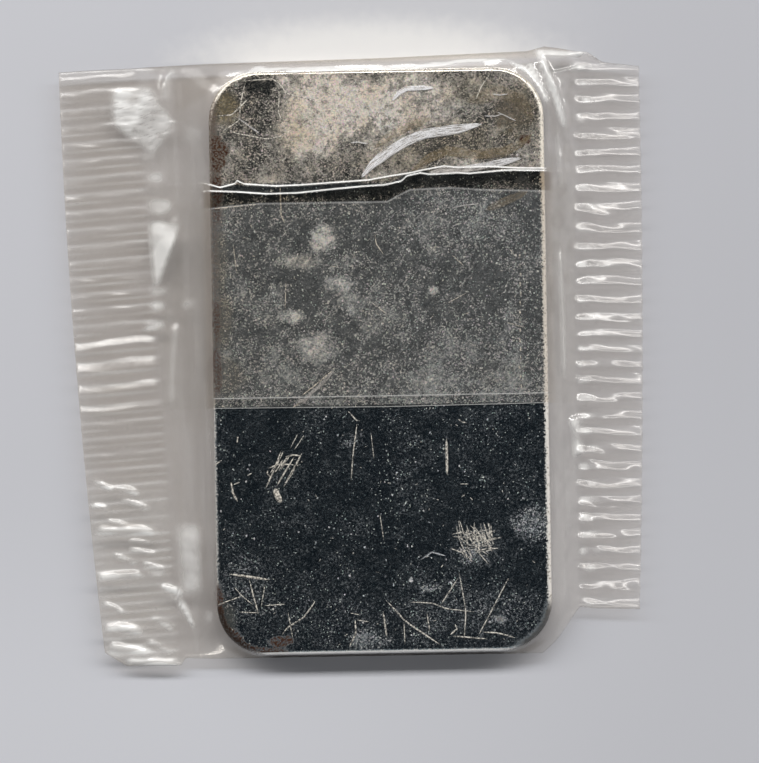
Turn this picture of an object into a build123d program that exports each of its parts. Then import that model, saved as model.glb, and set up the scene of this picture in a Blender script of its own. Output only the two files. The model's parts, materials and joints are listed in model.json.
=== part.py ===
"""A one troy ounce minted silver bar, heat sealed in a clear plastic flow wrap.

Millimetres, +Z up. The origin is under the middle of the bar, on the plane that the packet rests on.
+Y runs along the bar's long side, and +X across it, towards the squarer of the two crimped ends.
"""

import os
from math import atan, ceil, cos, radians, sin

from build123d import *

# Bar
bar_width = 28.4
bar_length = 49.4
bar_thickness = 2.14
bar_corner_radius = 4.2
bar_edge_radius = 0.35

# Film sleeve round the bar
film_thickness = 0.06
headroom = 0.04  # clear over the bar's upper face
side_clearance = 0.15  # clear beside the bar's long edges, before the film slopes down
slack_top = 1.2  # clear past the bar's far short edge
slack_bottom = 0.34  # clear past the bar's near short edge

# Crimped ends, in pairs: left (-X), right (+X)
left_web, right_web = 4.17, 2.3  # from the sleeve to the middle of the crimp's inner edge
left_crimp_width, right_crimp_width = 6.8, 5.2
left_crimp_length, right_crimp_length = 50.0, 46.4
left_crimp_shift, right_crimp_shift = -0.25, 1.95  # along Y, from the sleeve's middle
left_crimp_tilt, right_crimp_tilt = 3.6, -1.1  # degrees about Z
rib_pitch = 1.48
rib_depth = 0.3
rib_run_in = 0.8  # length over which the ribs rise to their full depth
rib_start_depth = 0.01
pressed_layer = 0.05  # one film layer, as thin as the crimping jaws leave it
seal_gap = 0.02  # what is left of the hollow where the crimp begins

# Fin seal, folded down on the sleeve's upper face
fin_fold_y = 15.1
fin_upper_edge_y = -2.9
fin_lower_edge_y = -3.7
fin_lift = 0.04  # clear under the folded fin
fin_root = 0.02  # how far the fin's root is let into the film that it grows from

# Sizes that follow
sleeve_half_width = bar_width / 2 + side_clearance
sleeve_far_y = bar_length / 2 + slack_top + film_thickness
sleeve_near_y = -bar_length / 2 - slack_bottom - film_thickness
sleeve_length = sleeve_far_y - sleeve_near_y
sleeve_middle_y = (sleeve_far_y + sleeve_near_y) / 2
sleeve_height = bar_thickness + headroom + 2 * film_thickness
inner_radius = bar_edge_radius + slack_bottom / 2
outer_radius = inner_radius + film_thickness
two_layers = 2 * film_thickness
seal_height = sleeve_height / 2  # the crimps lie half way up the bar


def section_plane(x):
    """The plane across the sleeve at x, with its origin in the middle of the section."""
    return Plane(origin=(x, sleeve_middle_y, seal_height), x_dir=(0, 1, 0), z_dir=(1, 0, 0))


def crimp_plane(x, shift, tilt):
    """The plane in which a crimp's inner edge lies."""
    turn = radians(tilt)
    return Plane(
        origin=(x, sleeve_middle_y + shift, seal_height),
        x_dir=(-sin(turn), cos(turn), 0),
        z_dir=(cos(turn), sin(turn), 0),
    )


def strip_section(plane, length, depth):
    """Sketch across the sealed strip: two faces of alternating arcs, depth from crest to trough."""
    halves = 2 * ceil(length / rib_pitch)
    step = length / halves
    slope = 2 * atan(depth / step)
    upper, lower, upper_mid, lower_mid = [], [], [], []
    for i in range(halves + 1):
        u = (i - halves / 2) * step
        lean = slope if i % 2 == 0 else -slope
        upper.append((u - sin(lean) * pressed_layer, cos(lean) * pressed_layer))
        lower.append((u + sin(lean) * pressed_layer, -cos(lean) * pressed_layer))
    for i in range(halves):
        u = (i + 0.5 - halves / 2) * step
        crest = depth / 2 if i % 2 == 0 else -depth / 2
        upper_mid.append((u, crest + pressed_layer))
        lower_mid.append((u, crest - pressed_layer))
    with BuildSketch(plane) as section:
        with BuildLine():
            for i in range(halves):
                ThreePointArc(upper[i], upper_mid[i], upper[i + 1])
            Line(upper[-1], lower[-1])
            for i in reversed(range(halves)):
                ThreePointArc(lower[i + 1], lower_mid[i], lower[i])
            Line(lower[0], upper[0])
        make_face()
    return section.sketch


def fin_section(plane, middle_y, root, under, upper, layer):
    """Sketch of the folded fin: its root at the fold, and two layers with stepped free edges."""
    fold, near, far = fin_fold_y - middle_y, fin_upper_edge_y - middle_y, fin_lower_edge_y - middle_y
    with BuildSketch(plane) as section:
        with BuildLine():
            Polyline(
                (fold, root),
                (fold, upper),
                (near, upper),
                (near, upper - layer),
                (far, upper - layer),
                (far, under),
                (fold - two_layers, under),
                (fold - two_layers, root),
                close=True,
            )
        make_face()
    return section.sketch


left_plane = crimp_plane(-sleeve_half_width - left_web, left_crimp_shift, left_crimp_tilt)
right_plane = crimp_plane(sleeve_half_width + right_web, right_crimp_shift, right_crimp_tilt)
ends = [
    (-1, left_plane, left_crimp_shift, left_crimp_width, left_crimp_length),
    (1, right_plane, right_crimp_shift, right_crimp_width, right_crimp_length),
]

# The minted bar, with softly rounded edges
with BuildPart() as silver_bar:
    with BuildSketch(Plane.XY.offset(film_thickness)):
        RectangleRounded(bar_width, bar_length, bar_corner_radius)
    extrude(amount=bar_thickness)
    fillet(silver_bar.faces().filter_by(Axis.Z).edges(), bar_edge_radius)

# The wrap: sleeve, sloping webs and ribbed crimps, then the hollow, then the fin on top
with BuildPart() as film_wrap:
    with BuildSketch(section_plane(-sleeve_half_width)):
        RectangleRounded(sleeve_length, sleeve_height, outer_radius)
    extrude(amount=2 * sleeve_half_width)

    for side, plane, shift, width, length in ends:
        with BuildSketch(section_plane(side * sleeve_half_width)):
            RectangleRounded(sleeve_length, sleeve_height, outer_radius)
        with BuildSketch(plane):
            RectangleRounded(length, two_layers, film_thickness * 0.9)
        loft(ruled=True)

        ribs = [(0, rib_start_depth), (rib_run_in, rib_depth), (width, rib_depth)]
        strip_length = length - two_layers
        loft([strip_section(plane.offset(side * x), strip_length, d) for x, d in ribs], ruled=True)

    with BuildSketch(section_plane(-sleeve_half_width)):
        RectangleRounded(sleeve_length - two_layers, sleeve_height - two_layers, inner_radius)
    extrude(amount=2 * sleeve_half_width, mode=Mode.SUBTRACT)

    for side, plane, shift, width, length in ends:
        with BuildSketch(section_plane(side * sleeve_half_width)):
            RectangleRounded(sleeve_length - two_layers, sleeve_height - two_layers, inner_radius)
        with BuildSketch(plane):
            RectangleRounded(length - two_layers, seal_gap, seal_gap * 0.45)
        loft(ruled=True, mode=Mode.SUBTRACT)

    sleeve_top = sleeve_height / 2
    fin_under = sleeve_top + fin_lift
    fin_size = (sleeve_middle_y, sleeve_top - fin_root, fin_under, fin_under + two_layers, film_thickness)
    extrude(fin_section(section_plane(-sleeve_half_width), *fin_size), amount=2 * sleeve_half_width)

    for side, plane, shift, width, length in ends:
        pressed = film_thickness / 2
        pressed_size = (sleeve_middle_y + shift, pressed * 0.8, pressed, pressed * 1.6, pressed * 0.3)
        full_fin = fin_section(section_plane(side * sleeve_half_width), *fin_size)
        pressed_fin = fin_section(plane, *pressed_size)
        loft([full_fin, pressed_fin], ruled=True)

silver_bar.part.label = "silver_bar"
film_wrap.part.label = "film_wrap"

os.makedirs("parts", exist_ok=True)
export_step(silver_bar.part, "parts/silver_bar.step")
export_step(film_wrap.part, "parts/film_wrap.step")
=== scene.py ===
"""A one ounce silver bar in its sealed clear wrap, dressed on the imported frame.

Sizes here are in millimetres unless a name ends in _M, and meshes are turned into metres when they are
made. The frame's origin is under the middle of the bar, +Y runs along the bar and +Z is up, out of the
seen face.
"""

import json
import math
import random

import bmesh
import bpy
import numpy as np
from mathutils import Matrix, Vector

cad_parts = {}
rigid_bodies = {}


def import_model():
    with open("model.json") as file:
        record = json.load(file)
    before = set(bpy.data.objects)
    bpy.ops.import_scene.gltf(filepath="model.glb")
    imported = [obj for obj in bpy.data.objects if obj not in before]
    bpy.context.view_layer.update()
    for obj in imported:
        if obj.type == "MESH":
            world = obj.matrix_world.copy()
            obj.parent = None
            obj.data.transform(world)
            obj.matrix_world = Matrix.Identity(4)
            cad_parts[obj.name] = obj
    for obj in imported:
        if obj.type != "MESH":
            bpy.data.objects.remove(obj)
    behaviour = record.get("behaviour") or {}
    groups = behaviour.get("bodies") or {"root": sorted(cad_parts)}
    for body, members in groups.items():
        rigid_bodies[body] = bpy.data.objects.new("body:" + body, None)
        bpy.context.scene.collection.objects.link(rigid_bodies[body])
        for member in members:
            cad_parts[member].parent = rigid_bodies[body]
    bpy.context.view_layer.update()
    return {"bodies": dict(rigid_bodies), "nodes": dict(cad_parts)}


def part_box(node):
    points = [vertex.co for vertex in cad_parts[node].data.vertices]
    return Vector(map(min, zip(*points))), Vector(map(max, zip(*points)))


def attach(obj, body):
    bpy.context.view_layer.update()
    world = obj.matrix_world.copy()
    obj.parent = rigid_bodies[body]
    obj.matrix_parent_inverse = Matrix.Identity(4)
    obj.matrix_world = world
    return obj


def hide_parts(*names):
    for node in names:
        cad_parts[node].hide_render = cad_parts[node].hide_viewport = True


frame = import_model()

MM = 0.001

# Sizes read from the frame
*BAR_HALF, BAR_FACE = [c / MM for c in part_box("silver_bar")[1]]
FILM_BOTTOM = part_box("film_wrap")[0].z / MM

# Where the photo's pixels lie on the bar's face
PHOTO_PIXEL = 25.4 / 300
BAR_MIDDLE_PX = (380.3, 360.7)
BAR_TURN = math.radians(1.0)
PHOTO_SIZE_PX = (759, 763)

# Bar and film
BAR_CORNER = 4.2
FILM_LAYER = 0.05
FILM_TOP = BAR_FACE + 0.07
SEAL_HEIGHT = 1.15
RIB_PITCH = 1.46
FLANK_SLOPE = 0.37
# Gaps left between the film and the plane it lies on, the bar's face, and the fin
FLOOR_GAP = 0.01
FACE_GAP = 0.03
FIN_GAP = 0.012
# Vertices this close are merged, in the two skins of film and in the thin slivers
SKIN_MERGE = 1e-4
SLIVER_MERGE = 1e-5
# Keeps a division by a distance of 0 finite
TINY = 1e-6


def spot(px, py):
    """The place in the frame of a pixel of the photo, on the bar's face."""
    right = (px - BAR_MIDDLE_PX[0]) * PHOTO_PIXEL
    up = (BAR_MIDDLE_PX[1] - py) * PHOTO_PIXEL
    c, s = math.cos(BAR_TURN), math.sin(BAR_TURN)
    return right * c + up * s, -right * s + up * c


def spots(points):
    """The places of several pixels."""
    return [spot(*p) for p in points]


# Smooth fields over the film, as arrays
RIPPLE_WAVES = 9


def rise(low, high, x):
    """0 below low, 1 above high and a smooth step between."""
    f = np.clip((x - low) / (high - low), 0, 1)
    return f * f * (3 - 2 * f)


def ripple(x, y, size, seed):
    """A smooth uneven height of about 1, with features of this size."""
    rng = random.Random(seed)
    total = 0
    for _ in range(RIPPLE_WAVES):
        angle = rng.uniform(-math.pi, math.pi)
        k = math.tau / size * rng.uniform(0.6, 1.4)
        total += np.sin(k * (x * math.cos(angle) + y * math.sin(angle)) + rng.uniform(0, math.tau))
    return total / math.sqrt(RIPPLE_WAVES / 2)


def near_line(x, y, path):
    """Distance to a chain of straight runs, and how far along it the nearest point lies, from 0 to 1."""
    path = [np.array(p, float) for p in path]
    lengths = [np.linalg.norm(b - a) for a, b in zip(path, path[1:])]
    whole, before = sum(lengths), 0
    best = np.full(np.shape(x), 1e9)
    along = np.zeros(np.shape(x))
    for a, b, length in zip(path, path[1:], lengths):
        d = (b - a) / length
        s = np.clip((x - a[0]) * d[0] + (y - a[1]) * d[1], 0, length)
        gap = np.hypot(x - a[0] - s * d[0], y - a[1] - s * d[1])
        closer = gap < best
        best = np.where(closer, gap, best)
        along = np.where(closer, (before + s) / whole, along)
        before += length
    return best, along


def crease(x, y, path, width, height):
    """A raised fold along a path, which dies away at its ends."""
    gap, along = near_line(x, y, path)
    ends = rise(0, 0.15, along) * rise(0, 0.15, 1 - along)
    return height * ends * np.exp(-((gap / width) ** 2))


def inside(x, y, corners, soft):
    """1 inside a convex outline given anticlockwise, and 0 outside, over a soft edge."""
    mask = 1
    for (ax, ay), (bx, by) in zip(corners, corners[1:] + corners[:1]):
        length = math.hypot(bx - ax, by - ay)
        depth = ((bx - ax) * (y - ay) - (by - ay) * (x - ax)) / length
        mask *= rise(-soft, soft, depth)
    return mask


def past_bar(x, y):
    """How far a point lies outside the bar's outline, below 0 inside it."""
    over_x = np.abs(x) - (BAR_HALF[0] - BAR_CORNER)
    over_y = np.abs(y) - (BAR_HALF[1] - BAR_CORNER)
    straight = np.minimum(np.maximum(over_x, over_y), 0)
    return np.hypot(np.maximum(over_x, 0), np.maximum(over_y, 0)) + straight - BAR_CORNER


# Outline of the film in plan, at lines counted across it: station, x and y at the bottom, x half way up,
# x and y at the top. The left crimp ends at line 1, the bar lies from line 2 to 3, and the right crimp
# starts at line 4.
FILM_LINES = [
    (0.0, -23.85, -24.45, -25.9, -26.93, 25.0),
    (0.3, -22.0, -25.6, -23.75, -24.95, 25.1),
    (1.0, -17.4, -25.6, -18.7, -20.2, 25.25),
    (1.1, -17.0, -25.0, -18.25, -19.6, 25.3),
    (2.0, -14.4, -25.1, -14.4, -14.4, 25.5),
    (2.5, -0.5, -25.1, 0.0, 0.0, 25.74),
    (2.95, 12.0, -25.1, 12.96, 12.96, 26.12),
    (3.0, 13.4, -25.1, 14.4, 14.4, 26.5),
    (3.4, 14.7, -23.9, 15.3, 15.5, 26.35),
    (4.0, 16.6, -21.2, 16.7, 17.1, 26.05),
    (4.2, 17.6, -21.35, 17.83, 18.05, 25.95),
    (4.4, 18.6, -21.4, 18.96, 19.2, 25.15),
    (5.0, 21.7, -21.5, 22.35, 22.42, 24.72),
]
# Columns of the film's grid: station, and how many columns lie between it and the next
COLUMN_RUNS = [(0.0, 20), (1.0, 18), (2.0, 18), (2.19, 18), (2.81, 22), (3.0, 14), (4.0, 16), (5.0, 0)]
UPPER_ROWS = 590
LOWER_ROWS = 170

# Ribs of the crimps: the photo's rows in which they lie, read in one of its columns, and how they lean
LEFT_RIB_ROWS = [
    72, 90, 107, 124, 141, 158, 176, 193, 210, 228, 244, 260, 276, 293, 308, 325, 343, 363, 386, 407, 423,
    439, 455, 471, 488, 505, 522, 539, 556, 573, 590, 607, 624, 641, 658, 675,
]
LEFT_RIBS = (110, LEFT_RIB_ROWS, math.radians(4.0))
LEFT_BRIGHT_RIBS = {343: 1.0, 363: 0.9, 386: 0.55, 407: 0.75, 72: 0.5}
RIGHT_RIB_ROWS = [
    48, 65, 81, 98, 115, 132, 150, 168, 186, 205, 228, 246, 263, 280, 298, 316, 332, 347, 363, 379, 397,
    416, 430, 448, 466, 483, 499, 517, 534, 551, 568, 585, 603, 620,
]
RIGHT_RIBS = (610, RIGHT_RIB_ROWS, math.radians(0.4))
RIGHT_BRIGHT_RIBS = {186: 0.7, 332: 0.7, 347: 0.4, 430: 0.5, 603: 0.6}
# From this row of the photo on, the ribs of the right crimp are more broken
RIGHT_BROKEN_FROM_ROW = 325
# Pixels between which the left crimp turns crumpled, going down
CRUMPLED_FROM_PX = [(130, 478), (130, 500)]


def grid_stations():
    """The station of each column of the film's grid."""
    stations = [0.0]
    for (start, count), (end, _) in zip(COLUMN_RUNS, COLUMN_RUNS[1:]):
        stations += [start + (end - start) * (k + 1) / count for k in range(count)]
    return np.array(stations)


def plan_place(station, t):
    """Place in plan at a station across the film, a share t of the way from its bottom edge to its top."""
    columns = list(zip(*FILM_LINES))
    x_low, y_low, x_mid, x_high, y_high = (np.interp(station, columns[0], c) for c in columns[1:])
    x = (1 - t) * (1 - 2 * t) * x_low + 4 * t * (1 - t) * x_mid + t * (2 * t - 1) * x_high
    return x, (1 - t) * y_low + t * y_high


def line_x(line, y):
    """x of one of the film's lines at height y."""
    _, _, y_low, _, _, y_high = next(row for row in FILM_LINES if row[0] == line)
    return plan_place(np.full(np.shape(y), float(line)), (y - y_low) / (y_high - y_low))[0]


def rib_count(x, y, column, rows, tilt):
    """Ribs counted downwards from the first row, with the fraction between two ribs."""
    level = y - (x - spot(column, 0)[0]) * math.tan(tilt)
    heights = [-spot(column, row)[1] for row in rows]
    return np.interp(-level, heights, np.arange(len(rows)))


def rib_relief(x, y, column, rows, tilt, depth, bright, broken, seed):
    """Height of a crimp's ribs. A bright rib has a flat flank, turned to the lamp, and a broken one is
    uneven along its length. bright and broken give the share for the rib at a row of the photo."""
    rng = random.Random(seed)
    count = rib_count(x, y, column, rows, tilt)
    count += 0.06 * ripple(x, y, 9, seed) + 0.03 * ripple(x, y, 3.2, seed + 1)
    numbers = np.arange(len(rows))
    strength = np.interp(count, numbers, [rng.uniform(0.85, 1.12) for _ in rows])
    flatness = np.interp(count, numbers, [bright.get(row, 0.0) for row in rows])
    uneven = np.interp(count, numbers, [broken(row) for row in rows])
    strength *= np.clip(1 - uneven * (0.35 - 0.75 * ripple(x, 2.2 * y, 3.0, seed + 2)), 0.12, 1.7)
    pitch = np.interp(count, numbers, np.gradient(rows)) * PHOTO_PIXEL
    share = count - np.floor(count)
    wave = np.sin(math.tau * share) * depth / 2 * pitch / RIB_PITCH
    flank = FLANK_SLOPE * pitch * (0.25 - np.abs(((share + 0.25) % 1) - 0.5))
    return strength * wave * (1 - flatness) + flank * flatness


# Folds of the upper film: path in the photo's pixels, width, height
WEB_FOLDS = [
    ([(519, 62), (530, 76), (541, 92), (549, 104)], 0.3, 0.3),
    ([(524, 58), (536, 74), (547, 90)], 0.12, 0.1),
    ([(537, 50), (545, 68), (555, 88), (562, 110), (567, 130)], 0.3, 0.36),
    ([(536, 52), (560, 54), (590, 52)], 0.3, 0.2),
    ([(553, 73), (570, 69), (586, 64)], 0.2, 0.14),
    ([(559, 240), (561, 280), (563, 330), (564, 384)], 0.3, 0.34),
    ([(556, 130), (560, 160), (562, 190)], 0.25, 0.14),
    ([(572, 415), (576, 430), (580, 458)], 0.35, 0.3),
    ([(176, 320), (172, 360), (170, 410)], 0.3, 0.3),
    ([(175, 66), (168, 76), (164, 88), (163, 104)], 0.34, 0.42),
    ([(163, 122), (176, 122), (186, 128), (192, 135)], 0.12, 0.06),
]
# Creases of the left crimp's lower part, which is crumpled
CRIMP_FOLDS = [
    ([(92, 482), (103, 486), (114, 492)], 0.28, 0.16), ([(116, 487), (128, 491), (139, 497)], 0.28, 0.16),
    ([(121, 500), (134, 504), (150, 511)], 0.26, 0.15), ([(90, 506), (98, 507), (106, 509)], 0.28, 0.15),
    ([(93, 532), (120, 531), (140, 531), (158, 535)], 0.4, 0.22),
    ([(104, 521), (116, 523), (126, 527)], 0.22, 0.12), ([(126, 541), (138, 542), (151, 544)], 0.2, 0.13),
    ([(127, 549), (140, 552), (156, 556)], 0.24, 0.14), ([(141, 563), (152, 567), (164, 571)], 0.26, 0.16),
    ([(95, 579), (115, 576), (142, 575)], 0.34, 0.19), ([(112, 555), (124, 560), (137, 565)], 0.24, 0.12),
    ([(160, 586), (170, 590), (183, 595)], 0.26, 0.17),
    ([(172, 597), (182, 608), (190, 622), (194, 630)], 0.22, 0.15),
    ([(100, 603), (112, 608), (126, 616)], 0.26, 0.15), ([(102, 631), (120, 628), (142, 634)], 0.42, 0.22),
    ([(145, 641), (158, 647), (172, 655)], 0.28, 0.15), ([(106, 648), (125, 650), (150, 655)], 0.42, 0.22),
    ([(122, 662), (150, 664), (181, 665)], 0.42, 0.22), ([(150, 618), (162, 624), (172, 632)], 0.3, 0.1),
]
CRUMPLED_PATCH = [(112, 88), (113, 123), (151, 152), (175, 126), (150, 88)]
# Patches of the film, most of them painted glints and the crumpled ones partly whitened: outline in the
# photo's pixels, amount, width of the soft edge
WHITE_AND_GLINT_PATCHES = [
    (CRUMPLED_PATCH, 0.4, 0.35),
    ([(112, 88), (113, 123), (130, 134), (141, 112), (150, 88)], 0.45, 0.5),
    ([(527, 64), (545, 103), (549, 100), (533, 62)], 0.5, 0.12),
    ([(537, 64), (549, 92), (551, 91), (541, 64)], 0.35, 0.1),
    ([(536, 48), (546, 78), (563, 126), (565, 124), (552, 76), (543, 49)], 0.7, 0.12),
    ([(536, 48), (536, 53), (582, 56), (582, 51)], 0.5, 0.15),
    ([(149, 199), (149, 211), (164, 213), (171, 207), (169, 201)], 0.6, 0.4),
    ([(150, 222), (151, 262), (155, 286), (162, 283), (171, 250), (181, 226)], 1.0, 0.4),
    ([(150, 287), (151, 295), (163, 294), (166, 288)], 0.5, 0.4),
    ([(151, 302), (151, 310), (163, 309), (163, 302)], 0.7, 0.35),
    ([(145, 322), (145, 330), (162, 328), (162, 321)], 0.7, 0.35),
    ([(183, 300), (182, 307), (193, 307), (194, 300)], 0.35, 0.4),
    ([(142, 152), (143, 158), (152, 158), (153, 152)], 0.25, 0.4),
    ([(146, 173), (146, 180), (162, 180), (162, 173)], 0.4, 0.4),
    ([(178, 526), (183, 594), (199, 592), (197, 526)], 0.5, 0.6),
    ([(97, 575), (98, 581), (142, 579), (141, 574)], 0.35, 0.25),
    ([(104, 630), (105, 638), (128, 636), (147, 640), (138, 627), (122, 623)], 0.55, 0.35),
    ([(105, 648), (106, 657), (168, 657), (150, 650), (140, 643), (125, 646)], 0.6, 0.3),
    ([(124, 661), (126, 668), (181, 668), (180, 661)], 0.5, 0.3),
    ([(93, 529), (94, 536), (115, 537), (152, 535), (150, 529), (120, 531)], 0.45, 0.25),
    ([(144, 565), (146, 572), (158, 579), (163, 572), (155, 565)], 0.4, 0.3),
    ([(162, 586), (166, 595), (181, 597), (178, 589)], 0.55, 0.3),
    ([(176, 600), (181, 612), (193, 628), (190, 612), (183, 600)], 0.45, 0.25),
    ([(97, 482), (100, 490), (112, 492), (104, 484)], 0.4, 0.3),
    ([(118, 488), (124, 494), (136, 494), (130, 488)], 0.35, 0.3),
    ([(92, 504), (92, 509), (105, 509), (105, 504)], 0.35, 0.3),
    ([(186, 126), (184, 140), (199, 147), (203, 130)], 0.1, 0.3),
    ([(571, 62), (571, 70), (583, 70), (588, 62)], 0.3, 0.3),
    ([(573, 418), (570, 424), (579, 430), (582, 421)], 0.4, 0.3),
    ([(574, 440), (574, 456), (583, 456), (583, 442)], 0.4, 0.3),
    ([(208, 611), (204, 618), (209, 623), (213, 615)], 0.3, 0.3),
]
# Dull film at the far left corner of the bar, with painted shade
DULL_SHADED_CORNER = [(181, 62), (176, 84), (178, 112), (209, 114), (214, 93), (226, 80), (248, 66)]
# Places where the left web stands steep against the crimp: the photo's rows from and to, and how much
STEEP_ROWS = [(226, 282, 0.45), (534, 590, 0.4)]
STEEP_COLUMN = 160
STEEP_WIDTH = 1.25
STEEP_FADE = 1.4


def crimp_parts(left, right):
    """How fully a place lies in the left and in the right crimp, from its distances inside them."""
    return rise(0.3, -0.5, left), rise(0.25, -0.5, right)


def right_broken(row):
    """How broken a rib of the right crimp is."""
    return 0.45 if row < RIGHT_BROKEN_FROM_ROW else 0.9


def film_heights(station, x, y):
    """Upper and lower surface of the sealed film over the bar, the webs and the crimps."""
    beyond = past_bar(x, y)
    outside = np.clip(beyond + 0.12, 0, None)
    left, right = x - line_x(1, y), line_x(4, y) - x
    to_top = np.clip(plan_place(station, 1.0)[1] - y, 0, None)
    to_bottom = np.clip(y - plan_place(station, 0.0)[1], 0, None)
    to_fold = np.minimum(to_top, to_bottom)
    to_seal = np.clip(np.minimum(np.minimum(left, right), to_fold), 0, None)
    lift = to_seal / (outside + to_seal + TINY)

    # Over the bar's far edge the film leans gently at first, and then turns down
    run = outside / (outside + to_top + TINY)
    gentle = (1 - 0.33 * outside) * (1 - rise(0.45, 1.0, run) ** 1.4)
    far_edge = rise(23.8, 24.6, y) * rise(-13.5, -12.0, x) * rise(14.2, 13.0, x)
    lift = lift * (1 - far_edge) + gentle * far_edge

    steep = 0
    for top_row, bottom_row, amount in STEEP_ROWS:
        y_low, y_high = spot(STEEP_COLUMN, bottom_row)[1], spot(STEEP_COLUMN, top_row)[1]
        from_low = rise(y_low - STEEP_FADE, y_low + STEEP_FADE, y)
        steep += amount * from_low * rise(y_high + STEEP_FADE, y_high - STEEP_FADE, y)
    steep *= rise(2.1, 1.9, station)
    straight = np.clip(left / STEEP_WIDTH, 0, 1)
    lift_up = lift * (1 - steep) + np.maximum(straight, lift) * steep

    layer = FILM_LAYER * rise(0, 0.25, to_fold)
    left_part, right_part = crimp_parts(left, right)
    smooth_above, crumpled_below = [place[1] for place in spots(CRUMPLED_FROM_PX)]
    crumpled = rise(smooth_above, crumpled_below, y) * left_part
    left_ribs = rib_relief(x, y, *LEFT_RIBS, 0.1, LEFT_BRIGHT_RIBS, lambda row: 0.3, 3)
    right_ribs = rib_relief(x, y, *RIGHT_RIBS, 0.42, RIGHT_BRIGHT_RIBS, right_broken, 8)
    ribs = left_part * (1 - 0.6 * crumpled) * left_ribs + right_part * right_ribs
    for path, width, height in CRIMP_FOLDS:
        ribs += crease(x, y, spots(path), width, 1.25 * height)

    web = rise(0.1, 0.7, beyond) * rise(0, 0.4, np.maximum(lift, 0))
    calm = 1 - 0.85 * rise(-10.5, -12.5, x) * rise(19.5, 21.0, y)
    bend = web * calm * (0.032 * ripple(x, y, 2.6, 22) + 0.012 * ripple(x, y, 0.9, 23))
    bend += rise(0.1, -0.6, beyond) * 0.012 * (1 + ripple(x, y, 7, 21))
    for path, width, height in WEB_FOLDS:
        bend += crease(x, y, spots(path), width, height)
    patch = inside(x, y, spots(CRUMPLED_PATCH), 0.35)
    bend += patch * (0.035 * np.abs(ripple(x, y, 1.5, 24)) + 0.01 * ripple(x, y, 0.6, 25))

    upper = SEAL_HEIGHT + layer + (FILM_TOP - SEAL_HEIGHT - layer) * lift_up + ribs + bend
    lower = SEAL_HEIGHT - layer - (SEAL_HEIGHT - layer - FLOOR_GAP) * lift + ribs
    upper = np.maximum(upper, rise(0.25, 0, beyond) * (BAR_FACE + FACE_GAP))
    return upper, np.clip(lower, FLOOR_GAP, None)


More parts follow.
